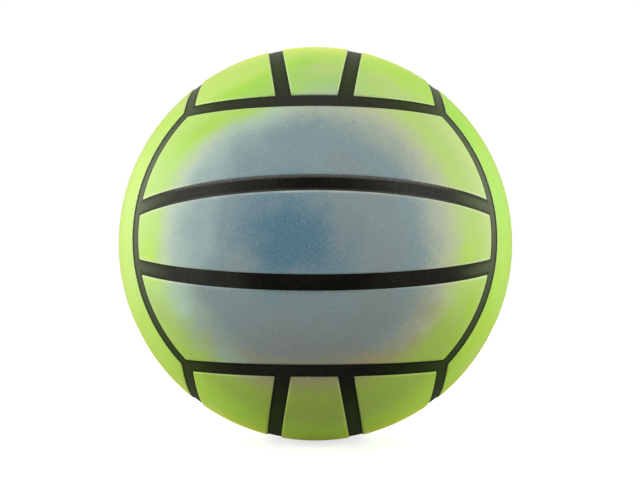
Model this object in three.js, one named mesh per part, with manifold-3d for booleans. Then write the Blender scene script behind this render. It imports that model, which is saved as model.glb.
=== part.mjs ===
// A playground ball with an eighteen-panel cover, in millimetres, +Z up, centred on the origin.
// From the inside out it has a rubber bladder, a layer of wound nylon yarn, a black rubber carcass
// whose raised ribs show as the channels, and the cover panels, which lie in the pockets between ribs.
// The valve is at the middle of the back, on +Y, and its core pulls straight out of its seat.
import * as THREE from "three";
import { mergeVertices } from "three/addons/utils/BufferGeometryUtils.js";
import Module from "manifold-3d";

const wasm = await Module();
wasm.setup();

// Driving dimensions of the cover
const BALL_DIAMETER = 220;
const PANEL_THICKNESS = 1.2;
const PANEL_CORNER_RADIUS = 1;
const CHANNEL_WIDTH = 7.4;
const CHANNEL_DEPTH = 0.6;
const MIDDLE_STRIP_WIDTH = 45;
const MIDDLE_STRIP_END_WIDTH = 28.5;

// Driving dimensions of the layers under the cover
const FIT_GAP = 0.3;
const CARCASS_WALL = 0.6;
const WINDING_THICKNESS = 0.5;
const BLADDER_WALL = 0.6;

// Driving dimensions of the valve
const VALVE_RECESS = 0.25;
const CORE_STEM_DIAMETER = 5.6;
const CORE_STEM_LENGTH = 12;
const CORE_HEAD_OVERHANG = 1.5;
const CORE_HEAD_THICKNESS = 1.2;
const CORE_END_WALL = 4;
const CORE_END_CHAMFER = 0.8;
const NEEDLE_HOLE_DIAMETER = 1.8;
const NEEDLE_LEAD_IN = 0.7;
const SEAT_RIM_WALL = 2;
const SEAT_FLOOR = 1.5;
const SEAT_FLANGE_OVERHANG = 8;
const SEAT_FLANGE_THICKNESS = 1;
const AIR_HOLE_DIAMETER = 3;

// How finely round shapes are cut into flat faces. An odd count puts a corner on every axis.
const GEODESIC_DETAIL = 5;
const LATHE_STEPS = 32;
const CORNER_STEPS = 3;
const MERGE_TOLERANCE = 1e-4;

// Radii of the layers, from the cover inwards
const coverRadius = BALL_DIAMETER / 2;
const ribRadius = coverRadius - CHANNEL_DEPTH;
const panelInnerRadius = coverRadius - PANEL_THICKNESS;
const pocketRadius = panelInnerRadius - FIT_GAP;
const carcassInnerRadius = pocketRadius - CARCASS_WALL;
const windingRadius = carcassInnerRadius - FIT_GAP;
const windingInnerRadius = windingRadius - WINDING_THICKNESS;
const bladderRadius = windingInnerRadius - FIT_GAP;
const bladderInnerRadius = bladderRadius - BLADDER_WALL;
const flangeRadius = bladderInnerRadius - FIT_GAP;

// Every side of the ball meets its neighbours on planes at this distance from the centre, so that
// three sides share each of the eight corners. The cover leans by edgeLean where those planes cut it.
const cornerPlane = coverRadius / Math.sqrt(3);
const edgeLean = Math.sqrt(2 / 3);

// The seam beside a middle strip is the plane across = seamStart + seamSlope * outward
const seamMiddle = Math.sqrt(coverRadius ** 2 - (MIDDLE_STRIP_WIDTH / 2) ** 2);
const seamSlope = (MIDDLE_STRIP_WIDTH - MIDDLE_STRIP_END_WIDTH) / 2 / (seamMiddle - cornerPlane);
const seamStart = MIDDLE_STRIP_END_WIDTH / 2 - seamSlope * cornerPlane;

// Radii of the valve and its levels along +Y
const coreStemRadius = CORE_STEM_DIAMETER / 2;
const coreHeadRadius = coreStemRadius + CORE_HEAD_OVERHANG;
const needleRadius = NEEDLE_HOLE_DIAMETER / 2;
const boreRadius = coreStemRadius + FIT_GAP;
const counterboreRadius = coreHeadRadius + FIT_GAP;
const barrelRadius = counterboreRadius + SEAT_RIM_WALL;
const valveHoleRadius = barrelRadius + FIT_GAP;
const valveFace = coverRadius - VALVE_RECESS;
const headBottom = valveFace - CORE_HEAD_THICKNESS;
const coreBottom = headBottom - CORE_STEM_LENGTH;
const needleBottom = coreBottom + CORE_END_WALL;
const boreBottom = coreBottom - FIT_GAP;
const seatBottom = boreBottom - SEAT_FLOOR;

// The six sides. The strips lie side by side along across, and each runs along outward x across.
const SIDES = [
  { name: "front", outward: [0, -1, 0], across: [0, 0, 1], strips: ["lower", "middle", "upper"] },
  { name: "back", outward: [0, 1, 0], across: [0, 0, 1], strips: ["lower", "middle", "upper"] },
  { name: "right", outward: [1, 0, 0], across: [0, 1, 0], strips: ["front", "middle", "rear"] },
  { name: "left", outward: [-1, 0, 0], across: [0, 1, 0], strips: ["front", "middle", "rear"] },
  { name: "top", outward: [0, 0, 1], across: [1, 0, 0], strips: ["left", "middle", "right"] },
  { name: "bottom", outward: [0, 0, -1], across: [1, 0, 0], strips: ["left", "middle", "right"] },
];
const STRIP_PLACES = [-1, 0, 1];
const VALVE_PANEL = "back_middle_panel";

// Finishes
const finishes = {
  green: { color: 0xb4e070, roughness: 0.42, metalness: 0 },
  blue: { color: 0x7f96a0, roughness: 0.42, metalness: 0 },
  black: { color: 0x1f201a, roughness: 0.5, metalness: 0 },
  yarn: { color: 0xd9d6c8, roughness: 0.85, metalness: 0 },
  butyl: { color: 0x33312f, roughness: 0.6, metalness: 0 },
  valve: { color: 0x24241f, roughness: 0.55, metalness: 0 },
};

// A closed geometry as a solid that can be cut and joined
function toSolid(geometry) {
  const bare = new THREE.BufferGeometry();
  bare.setAttribute("position", geometry.getAttribute("position"));
  bare.setIndex(geometry.getIndex());
  const merged = mergeVertices(bare, MERGE_TOLERANCE);
  const vertProperties = merged.getAttribute("position").array;
  const triVerts = Uint32Array.from(merged.getIndex().array);
  return new wasm.Manifold(new wasm.Mesh({ numProp: 3, vertProperties, triVerts }));
}

// A solid as a geometry that can be drawn
function toGeometry(solid) {
  const { vertProperties, triVerts } = solid.getMesh();
  const geometry = new THREE.BufferGeometry();
  geometry.setAttribute("position", new THREE.BufferAttribute(vertProperties, 3));
  geometry.setIndex(new THREE.BufferAttribute(triVerts, 1));
  geometry.computeVertexNormals();
  return geometry;
}

function makeMesh(name, solid, finish) {
  const mesh = new THREE.Mesh(toGeometry(solid), new THREE.MeshStandardMaterial(finish));
  mesh.name = name;
  return mesh;
}

// A ball of flat triangles. All radii share one set of corners, so nested layers keep an even gap.
function geodesicBall(radius) {
  return toSolid(new THREE.IcosahedronGeometry(radius, GEODESIC_DETAIL));
}

function shell(outerRadius, innerRadius) {
  return geodesicBall(outerRadius).subtract(geodesicBall(innerRadius));
}

// A solid of revolution about the valve's axis, from an outline of [radius, height] pairs
function turned(outline) {
  const points = outline.map(([radius, height]) => new THREE.Vector2(radius, height));
  return toSolid(new THREE.LatheGeometry(points, LATHE_STEPS));
}

// The plug that the valve's hole is cut with, from inside the bladder to outside the cover
function valveHole() {
  const low = seatBottom;
  const high = BALL_DIAMETER;
  return turned([
    [0, low],
    [valveHoleRadius, low],
    [valveHoleRadius, high],
    [0, high],
  ]);
}

// Rounds the corner between two straight lines of a section
function roundCorner(shape, before, corner, after) {
  const entry = corner.clone().add(before.clone().sub(corner).setLength(PANEL_CORNER_RADIUS));
  const exit = corner.clone().add(after.clone().sub(corner).setLength(PANEL_CORNER_RADIUS));
  shape.lineTo(entry.x, entry.y);
  shape.quadraticCurveTo(corner.x, corner.y, exit.x, exit.y);
}

// The section of one strip in the (outward, across) plane, its edges a setback from the seam lines.
// Its two inner corners become the four rounded corners of the panel.
function stripSection(place, setback) {
  const offset = setback * Math.hypot(1, seamSlope);
  const seamAt = (outward) => seamStart + seamSlope * outward;
  const endPlane = cornerPlane + setback * edgeLean;
  const sidePlane = cornerPlane - setback * edgeLean;
  const reach = BALL_DIAMETER;
  const isMiddle = place === 0;
  const nearEdge = (outward) => (isMiddle ? offset - seamAt(outward) : seamAt(outward) + offset);
  const farEdge = (outward) => (isMiddle ? seamAt(outward) - offset : sidePlane);
  const mirror = place < 0 ? -1 : 1;
  const nearOut = new THREE.Vector2(reach, mirror * nearEdge(reach));
  const nearIn = new THREE.Vector2(endPlane, mirror * nearEdge(endPlane));
  const farIn = new THREE.Vector2(endPlane, mirror * farEdge(endPlane));
  const farOut = new THREE.Vector2(reach, mirror * farEdge(reach));
  const section = new THREE.Shape();
  section.moveTo(nearOut.x, nearOut.y);
  roundCorner(section, nearOut, nearIn, farIn);
  roundCorner(section, nearIn, farIn, farOut);
  section.lineTo(farOut.x, farOut.y);
  section.closePath();
  return section;
}

// The space of one strip as a prism along the strip, in the side's own (outward, across, along) frame
function stripPrism(place, setback) {
  const depth = 2 * BALL_DIAMETER;
  const options = { depth, bevelEnabled: false, curveSegments: CORNER_STEPS };
  const prism = new THREE.ExtrudeGeometry(stripSection(place, setback), options);
  return toSolid(prism.translate(0, 0, -depth / 2));
}

// The turn that carries a side's own frame to the ball's frame
function sideMatrix(side) {
  const outward = new THREE.Vector3(...side.outward);
  const across = new THREE.Vector3(...side.across);
  const along = outward.clone().cross(across);
  return new THREE.Matrix4().makeBasis(outward, across, along);
}

function makeBladder() {
  return makeMesh("bladder", shell(bladderRadius, bladderInnerRadius).subtract(valveHole()), finishes.butyl);
}

function makeWinding() {
  return makeMesh("winding", shell(windingRadius, windingInnerRadius).subtract(valveHole()), finishes.yarn);
}

// The carcass is a thick shell up to the ribs' tops, with a pocket sunk for every panel
function makeCarcass() {
  const pocketFloor = geodesicBall(pocketRadius);
  const pockets = STRIP_PLACES.map((place) =>
    stripPrism(place, CHANNEL_WIDTH / 2 - FIT_GAP).subtract(pocketFloor),
  );
  let carcass = shell(ribRadius, carcassInnerRadius).subtract(valveHole());
  for (const side of SIDES) {
    const turn = sideMatrix(side).toArray();
    for (const pocket of pockets) {
      carcass = carcass.subtract(pocket.transform(turn));
    }
  }
  return makeMesh("carcass", carcass, finishes.black);
}

// The valve's hole as it lies in the frame of one side
function valveHoleIn(matrix) {
  return valveHole().transform(matrix.clone().invert().toArray());
}

// Three panels in the frame of their side
function makeSide(side, cover) {
  const matrix = sideMatrix(side);
  const group = new THREE.Group();
  group.quaternion.setFromRotationMatrix(matrix);
  STRIP_PLACES.forEach((place, index) => {
    const name = `${side.name}_${side.strips[index]}_panel`;
    let panel = cover.intersect(stripPrism(place, CHANNEL_WIDTH / 2));
    if (name === VALVE_PANEL) {
      panel = panel.subtract(valveHoleIn(matrix));
    }
    const isBlue = ["front", "back"].includes(side.name);
    group.add(makeMesh(name, panel, isBlue ? finishes.blue : finishes.green));
  });
  return group;
}

// The seat is a cup with a stepped bore, and a flange that lies against the bladder from inside
function makeValveSeat() {
  const airRadius = AIR_HOLE_DIAMETER / 2;
  const counterboreFloor = headBottom - FIT_GAP;
  const cup = turned([
    [airRadius, seatBottom],
    [barrelRadius, seatBottom],
    [barrelRadius, valveFace],
    [counterboreRadius, valveFace],
    [counterboreRadius, counterboreFloor],
    [boreRadius, counterboreFloor],
    [boreRadius, boreBottom],
    [airRadius, boreBottom],
    [airRadius, seatBottom],
  ]);
  const insideBarrelWall = (boreRadius + barrelRadius) / 2;
  const flangeReach = barrelRadius + SEAT_FLANGE_OVERHANG;
  const ring = turned([
    [insideBarrelWall, seatBottom],
    [flangeReach, seatBottom],
    [flangeReach, coverRadius],
    [insideBarrelWall, coverRadius],
    [insideBarrelWall, seatBottom],
  ]);
  const flange = shell(flangeRadius, flangeRadius - SEAT_FLANGE_THICKNESS).intersect(ring);
  return makeMesh("valve_seat", cup.add(flange), finishes.valve);
}

// The core is a headed plug with a blind hole that guides the pump's needle
function makeValveCore() {
  const core = turned([
    [0, coreBottom],
    [coreStemRadius - CORE_END_CHAMFER, coreBottom],
    [coreStemRadius, coreBottom + CORE_END_CHAMFER],
    [coreStemRadius, headBottom],
    [coreHeadRadius, headBottom],
    [coreHeadRadius, valveFace],
    [needleRadius + NEEDLE_LEAD_IN, valveFace],
    [needleRadius, valveFace - NEEDLE_LEAD_IN],
    [needleRadius, needleBottom],
    [0, needleBottom],
  ]);
  return makeMesh("valve_core", core, finishes.valve);
}

const ball = new THREE.Group();
ball.add(makeBladder(), makeWinding(), makeCarcass());
const cover = shell(coverRadius, panelInnerRadius);
for (const side of SIDES) {
  ball.add(makeSide(side, cover));
}
ball.add(makeValveSeat(), makeValveCore());

export default ball;
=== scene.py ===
"""The looks of an inflatable playground ball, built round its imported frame.

The cover is eighteen rubber panels in six sides of three strips, with sunken black channels between
them, a sprayed blue-grey patch on the front and on the back, and a needle valve at the middle of the back.
All lengths are in metres, +Z is up and the front faces -Y.
"""

import logging
import math
from collections.abc import Iterable
from dataclasses import dataclass, field
from enum import Enum
from functools import cached_property
from typing import Any

import bpy
import numpy as np
from mathutils import Matrix, Vector


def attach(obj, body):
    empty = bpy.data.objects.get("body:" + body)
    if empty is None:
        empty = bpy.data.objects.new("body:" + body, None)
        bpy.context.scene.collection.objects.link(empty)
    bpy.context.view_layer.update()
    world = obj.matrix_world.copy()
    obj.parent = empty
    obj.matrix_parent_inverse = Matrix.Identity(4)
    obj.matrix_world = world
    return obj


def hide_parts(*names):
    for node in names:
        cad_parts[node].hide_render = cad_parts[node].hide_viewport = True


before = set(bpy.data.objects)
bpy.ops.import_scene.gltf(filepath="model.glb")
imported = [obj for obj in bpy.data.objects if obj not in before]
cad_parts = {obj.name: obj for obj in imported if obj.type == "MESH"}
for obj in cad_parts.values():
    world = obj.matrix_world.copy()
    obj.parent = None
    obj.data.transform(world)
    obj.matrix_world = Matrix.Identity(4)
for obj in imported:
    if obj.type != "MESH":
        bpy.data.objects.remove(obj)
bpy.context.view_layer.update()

MM = 0.001
# The photograph's frame in pixels and the camera's sensor in millimetres.
IMAGE_WIDTH = 640
IMAGE_HEIGHT = 480
SENSOR_WIDTH = 36.0
# How far a plane on which two sides meet shifts for each metre along the cover.
EDGE_LEAN = math.sqrt(2 / 3)
# Edges that turn by more than this look sharp.
SHARP_ANGLE = math.radians(50)
# Points that are closer than this are one point.
SAME_PLACE = 1e-7
# Depth of the rubber's fine grain, and the weight of the finer octaves in a gritty one.
GRAIN_DEPTH = 0.2 * MM
GRITTY = 0.65
# Turn of a wave texture's bands, in radians for each unit of its scale.
WAVE_TURN = 20
# Heights, as shares of the ball's radius, between which a finish changes over at the seam above the front's
# middle panel and at the border between two sides.
AT_SEAM = (0.18, 0.23)
AT_BORDER = (0.56, 0.6)
Colour = tuple[float, float, float, float]
log = logging.getLogger("ball")


class Body(Enum):
    """The two bodies of the frame: the ball itself and the plug that pulls out of its valve."""

    BALL = "ball"
    CORE = "core"


class Slot(Enum):
    """The material slots."""

    GREEN = "cover_green"
    PRINTED = "cover_printed"
    CHANNEL = "channel_rubber"
    YARN = "winding_yarn"
    BLADDER = "bladder_rubber"
    VALVE = "valve_rubber"


class Side(Enum):
    """The six sides: outward axis, the axis across the strips, the strips' names and their slot."""

    FRONT = ((0, -1, 0), (0, 0, 1), ("lower", "middle", "upper"), Slot.PRINTED)
    BACK = ((0, 1, 0), (0, 0, 1), ("lower", "middle", "upper"), Slot.PRINTED)
    RIGHT = ((1, 0, 0), (0, 1, 0), ("front", "middle", "rear"), Slot.GREEN)
    LEFT = ((-1, 0, 0), (0, 1, 0), ("front", "middle", "rear"), Slot.GREEN)
    TOP = ((0, 0, 1), (1, 0, 0), ("left", "middle", "right"), Slot.GREEN)
    BOTTOM = ((0, 0, -1), (1, 0, 0), ("left", "middle", "right"), Slot.GREEN)

    @property
    def basis(self) -> np.ndarray:
        """The side's outward, across and along axes, one per row."""
        outward, across = np.array(self.value[0], float), np.array(self.value[1], float)
        return np.stack([outward, across, np.cross(outward, across)])

    def panel_name(self, place: int) -> str:
        """The name of the panel at place -1, 0 or 1 across the side."""
        return f"{self.name.lower()}_{self.value[2][place + 1]}_panel"

    @property
    def slot(self) -> Slot:
        """The material slot of the side's panels."""
        return self.value[3]


def linear(red: int, green: int, blue: int) -> Colour:
    """A colour given in 0 to 255 screen codes, as the linear light that a shader takes.

    A code c, as a share of 255, becomes c / 12.92 up to 0.04045 and ((c + 0.055) / 1.055)^2.4 above it.

    Args:
        red: Screen code of red.
        green: Screen code of green.
        blue: Screen code of blue.

    Returns:
        Red, green, blue and an alpha of 1.
    """
    codes = np.array([red, green, blue]) / 255
    light = np.where(codes <= 0.04045, codes / 12.92, ((codes + 0.055) / 1.055) ** 2.4)
    return (*light.tolist(), 1.0)


@dataclass
class Surface:
    """A mesh as whole arrays.

    Attributes:
        points: One row of x, y and z per point.
        faces: One row of four point numbers per face, counterclockwise from outside. A triangle
            repeats a number, and a face with fewer than three different points is dropped.
        fields: Named values, one per point, that a finish reads.
    """

    points: np.ndarray
    faces: np.ndarray
    fields: dict[str, np.ndarray] = field(default_factory=dict)

    def build(self, name: str) -> bpy.types.Object:
        """Makes a smooth-shaded object of the surface, at the origin.

        Args:
            name: The piece's name.

        Returns:
            The new object, linked to the scene.
        """
        # A corner that repeats the next one is left out.
        keep = self.faces != np.roll(self.faces, -1, axis=1)
        corners = keep.sum(axis=1)
        quads = self.faces[corners == 4]
        triangles = self.faces[corners == 3][keep[corners == 3]].reshape(-1, 3)
        used = np.union1d(quads, triangles)
        number = np.zeros(len(self.points), int)
        number[used] = np.arange(len(used))
        mesh = bpy.data.meshes.new(name)
        polygons = number[quads].tolist() + number[triangles].tolist()
        mesh.from_pydata(self.points[used].tolist(), [], polygons)
        for key, values in self.fields.items():
            attribute = mesh.attributes.new(key, "FLOAT", "POINT")
            attribute.data.foreach_set("value", values[used].astype(np.float32))
        mesh.shade_smooth()
        mesh.set_sharp_from_angle(angle=SHARP_ANGLE)
        made = bpy.data.objects.new(name, mesh)
        bpy.context.scene.collection.objects.link(made)
        return made


def revolve(outline: np.ndarray, steps: int) -> Surface:
    """Turns a closed outline of (radius, height) pairs about the Y axis.

    A point is (radius cos a, height, radius sin a) for even angles a. The outline runs counterclockwise
    with radius to the right and height up, so that faces point out. A pair on the axis is one point.

    Args:
        outline: One row of radius and height per point of the outline.
        steps: How many columns go round.

    Returns:
        The closed surface.
    """
    angle = np.arange(steps) * (2 * math.pi / steps)
    radius, height = outline[:, :1], outline[:, 1:]
    points = np.stack(
        [radius * np.cos(angle), height + 0 * angle, radius * np.sin(angle)], axis=-1
    )
    number = np.arange(points.shape[0] * steps).reshape(-1, steps)
    on_axis = outline[:, 0] < SAME_PLACE
    number[on_axis] = number[on_axis][:, :1]
    after = np.roll(number, -1, axis=0)
    faces = np.stack(
        [number, after, np.roll(after, -1, axis=1), np.roll(number, -1, axis=1)], axis=-1
    )
    return Surface(points.reshape(-1, 3), faces.reshape(-1, 4))


def rounded(corners: list[tuple[float, float, float]], steps: int = 5) -> np.ndarray:
    """Rounds the corners of a closed outline.

    Each corner b, with tangent points a and c at its own distance along its two lines, becomes
    the curve (1 - t)^2 a + 2 t (1 - t) b + t^2 c for t from 0 to 1.

    Args:
        corners: Radius, height and rounding distance of each corner, in order.
        steps: Points on each rounded corner, less one.

    Returns:
        The outline's points without repeats.
    """
    table = np.array(corners)
    corner, reach = table[:, None, :2], table[:, None, 2:]
    before = np.roll(corner, 1, axis=0) - corner
    after = np.roll(corner, -1, axis=0) - corner
    start = corner + before * reach / np.linalg.norm(before, axis=-1, keepdims=True)
    end = corner + after * reach / np.linalg.norm(after, axis=-1, keepdims=True)
    t = np.linspace(0, 1, steps + 1)[None, :, None]
    curve = ((1 - t) ** 2 * start + 2 * t * (1 - t) * corner + t**2 * end).reshape(-1, 2)
    apart = np.linalg.norm(curve - np.roll(curve, 1, axis=0), axis=1) > SAME_PLACE
    return curve[apart]


def thicken(outer: np.ndarray, inner: np.ndarray, faces: np.ndarray, loops: list[np.ndarray]) -> Surface:
    """Closes an outer and an inner sheet of one layout with a wall along each of its edges.

    Args:
        outer: Points of the outer sheet.
        inner: Points of the inner sheet, in the same order.
        faces: Faces of the outer sheet.
        loops: Point numbers along each edge, with the sheet on the left.

    Returns:
        The closed surface, the inner sheet's points after the outer's.
    """
    count = len(outer)
    parts = [faces, faces[:, ::-1] + count]
    for loop in loops:
        after = np.roll(loop, -1)
        parts.append(np.stack([loop, loop + count, after + count, after], axis=1))
    return Surface(np.concatenate([outer, inner]), np.concatenate(parts))


def block_loop(number: np.ndarray) -> np.ndarray:
    """The numbers along the edge of a block, counterclockwise from outside the ball."""
    return np.concatenate([number[0, :-1], number[:-1, -1], number[-1, :0:-1], number[:0:-1, 0]])


class Term:
    """A number that changes over a surface: a node socket that can stand in a Python expression.

    Attributes:
        graph: The graph that the socket is in.
        socket: The output socket.
    """

    def __init__(self, graph: "Graph", socket: bpy.types.NodeSocket) -> None:
        """Wraps one output socket of a graph."""
        self.graph = graph
        self.socket = socket

    def calculate(self, operation: str, *inputs: Any) -> "Term":
        """Adds a Math node of the given operation to the graph."""
        numbered = dict(enumerate(inputs))
        return self.graph.node("ShaderNodeMath", {"operation": operation}, numbered)

    def __add__(self, other: Any) -> "Term":
        """self + other"""
        return self.calculate("ADD", self, other)

    def __radd__(self, other: Any) -> "Term":
        """other + self"""
        return self.calculate("ADD", other, self)

    def __sub__(self, other: Any) -> "Term":
        """self - other"""
        return self.calculate("SUBTRACT", self, other)

    def __rsub__(self, other: Any) -> "Term":
        """other - self"""
        return self.calculate("SUBTRACT", other, self)

    def __mul__(self, other: Any) -> "Term":
        """self * other"""
        return self.calculate("MULTIPLY", self, other)

    def __rmul__(self, other: Any) -> "Term":
        """other * self"""
        return self.calculate("MULTIPLY", other, self)

    def __abs__(self) -> "Term":
        """The size of self without its sign"""
        return self.calculate("ABSOLUTE", self)

    def arccos(self) -> "Term":
        """The angle in radians whose cosine is self"""
        return self.calculate("ARCCOSINE", self)

    def ease(self, start: float, end: float) -> "Term":
        """Rises smoothly from 0 where self is start to 1 where it is end.

        Args:
            start: Value of self that gives 0.
            end: Value of self that gives 1. It may be below start.

        Returns:
            The eased number, from 0 to 1.
        """
        low, high = min(start, end), max(start, end)
        rising = end > start
        settings = {"interpolation_type": "SMOOTHSTEP"}
        inputs = {"Value": self, "From Min": low, "From Max": high}
        inputs |= {"To Min": 0.0 if rising else 1.0, "To Max": 1.0 if rising else 0.0}
        return self.graph.node("ShaderNodeMapRange", settings, inputs)

    def ease_degrees(self, start: float, end: float) -> "Term":
        """The same for an angle, with both limits in degrees."""
        return self.ease(math.radians(start), math.radians(end))


class Graph:
    """The node tree of one material or world.

    Attributes:
        owner: The material or the world.
        tree: Its node tree.
    """

    def __init__(self, owner: bpy.types.Material | bpy.types.World) -> None:
        """Empties the owner's tree.

        Args:
            owner: The material or the world.
        """
        owner.use_nodes = True
        self.owner = owner
        self.tree = owner.node_tree
        self.tree.nodes.clear()

    def node(
        self,
        kind: str,
        settings: dict[str, Any] | None = None,
        inputs: dict[str | int, Any] | None = None,
        output: str | int = 0,
    ) -> Term:
        """Adds a node, sets it up and feeds its sockets.

        Args:
            kind: The node's type.
            settings: The node's own settings, which are set first.
            inputs: Values or terms for its sockets, by name or by place.
            output: Name or place of the socket to return.

        Returns:
            The chosen output, or an empty term for a node without one.
        """
        made = self.tree.nodes.new(kind)
        for key, value in (settings or {}).items():
            setattr(made, key, value)
        sockets = self.named(made.inputs)
        for key, value in (inputs or {}).items():
            if isinstance(value, Term):
                self.tree.links.new(value.socket, sockets[key])
            else:
                sockets[key].default_value = value
        return Term(self, self.named(made.outputs).get(output))

    @staticmethod
    def named(sockets: Iterable[bpy.types.NodeSocket]) -> dict[str | int, bpy.types.NodeSocket]:
        """The sockets that are in use, by place and by name."""
        used = [socket for socket in sockets if socket.enabled]
        return dict(enumerate(used)) | {socket.name: socket for socket in reversed(used)}

    @cached_property
    def place(self) -> Term:
        """Coordinates on the piece, in metres in the ball's frame."""
        return self.node("ShaderNodeTexCoord", output="Object")

    @cached_property
    def direction(self) -> tuple[Term, Term, Term]:
        """The x, y and z parts of the direction from the ball's centre, which has length 1."""
        unit = self.node("ShaderNodeVectorMath", {"operation": "NORMALIZE"}, {0: self.place})
        return tuple(self.node("ShaderNodeSeparateXYZ", {}, {0: unit}, name) for name in "XYZ")

    def coated(self, ground: Any, *coats: tuple[Any, Any]) -> Term:
        """A colour under coats that are laid over it in turn.

        Args:
            ground: Colour or term.
            coats: Share of each coat, from 0 to 1, and its colour or term.

        Returns:
            The colour that shows.
        """
        for share, coat in coats:
            inputs = {"Factor": share, "A": ground, "B": coat}
            ground = self.node("ShaderNodeMix", {"data_type": "RGBA"}, inputs, "Result")
        return ground

    def noise(self, scale: float, detail: float = 2.0, roughness: float = 0.5) -> Term:
        """Smooth noise about 0, mostly within 0.25 of it, with features about 1 / scale metres wide.

        Args:
            scale: Features per metre.
            detail: Octaves of finer noise.
            roughness: Weight of the finer octaves.

        Returns:
            The noise.
        """
        inputs = {"Vector": self.place, "Scale": scale, "Detail": detail, "Roughness": roughness}
        return self.node("ShaderNodeTexNoise", {"noise_dimensions": "3D"}, inputs) - 0.5

    def bump(self, height: Term, strength: float, depth: float = GRAIN_DEPTH) -> Term:
        """A normal tilted by a height field.

        Args:
            height: The field.
            strength: Share of the effect.
            depth: Depth of the field in metres.

        Returns:
            The normal.
        """
        inputs = {"Strength": strength, "Distance": depth, "Height": height}
        return self.node("ShaderNodeBump", {}, inputs)

    def principled(self, inputs: dict[str, Any]) -> bpy.types.Material:
        """Ends a material with one principled shader.

        Args:
            inputs: Values or terms for the shader's sockets.

        Returns:
            The material.
        """
        shader = self.node("ShaderNodeBsdfPrincipled", {}, inputs)
        self.node("ShaderNodeOutputMaterial", {}, {"Surface": shader})
        return self.owner


@dataclass(frozen=True)
class Spray:
    """One coat of the sprayed patch.

    Attributes:
        start: Angle from the patch's middle where the coat begins, in degrees.
        full: Angle where it covers.
        share: How much it hides there.
    """

    start: float
    full: float
    share: float

    def cover(self, angle: Term) -> Term:
        """How much of the coat lies at an angle given in radians."""
        return angle.ease_degrees(self.start, self.full) * self.share


@dataclass(frozen=True)
class Patch:
    """The place of the sprayed patches: one on the front and one like it on the back.

    Attributes:
        middle: Direction of a patch's middle, with the y part taken without its sign.
    """

    middle: tuple[float, float, float] = (-0.03, 1.0, -0.04)

    def angle(self, graph: Graph) -> Term:
        """Angle between a place's direction and the middle of the nearer patch.

        Its cosine is the dot product of the two directions.

        Args:
            graph: The graph to add to.

        Returns:
            The angle in radians.
        """
        x, y, z = graph.direction
        across, outward, up = Vector(self.middle).normalized()
        return (x * across + abs(y) * outward + z * up).arccos()


@dataclass(frozen=True)
class EdgePlane:
    """A cut plane along a strip, across = start + slope * outward in its side's own frame.

    Its methods take numbers, arrays and terms alike.

    Attributes:
        start: Where the plane crosses outward 0.
        slope: How it opens outwards.
        lean: How far it shifts for each metre along the cover.
    """

    start: float
    slope: float
    lean: float

    def shifted(self, distance: Any) -> Any:
        """The plane's start after a shift of a distance along the cover."""
        return self.start + distance * self.lean

    def across(self, outward: Any, distance: Any = 0) -> Any:
        """The across coordinate of the plane, shifted by a distance, at an outward coordinate."""
        return self.shifted(distance) + outward * self.slope

    def above(self, across: Any, outward: Any) -> Any:
        """How far along the cover a place lies beyond the plane.

        Args:
            across: The place's across coordinate.
            outward: Its outward coordinate.

        Returns:
            The distance in metres.
        """
        return (across - outward * self.slope - self.start) * (1 / self.lean)

    def moved(self, distance: float) -> "EdgePlane":
        """The plane after a shift of a distance along the cover."""
        return EdgePlane(self.shifted(distance), self.slope, self.lean)

    def mirrored(self) -> "EdgePlane":
        """The plane on the other side of the strip's middle."""
        return EdgePlane(-self.start, -self.slope, self.lean)


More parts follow.
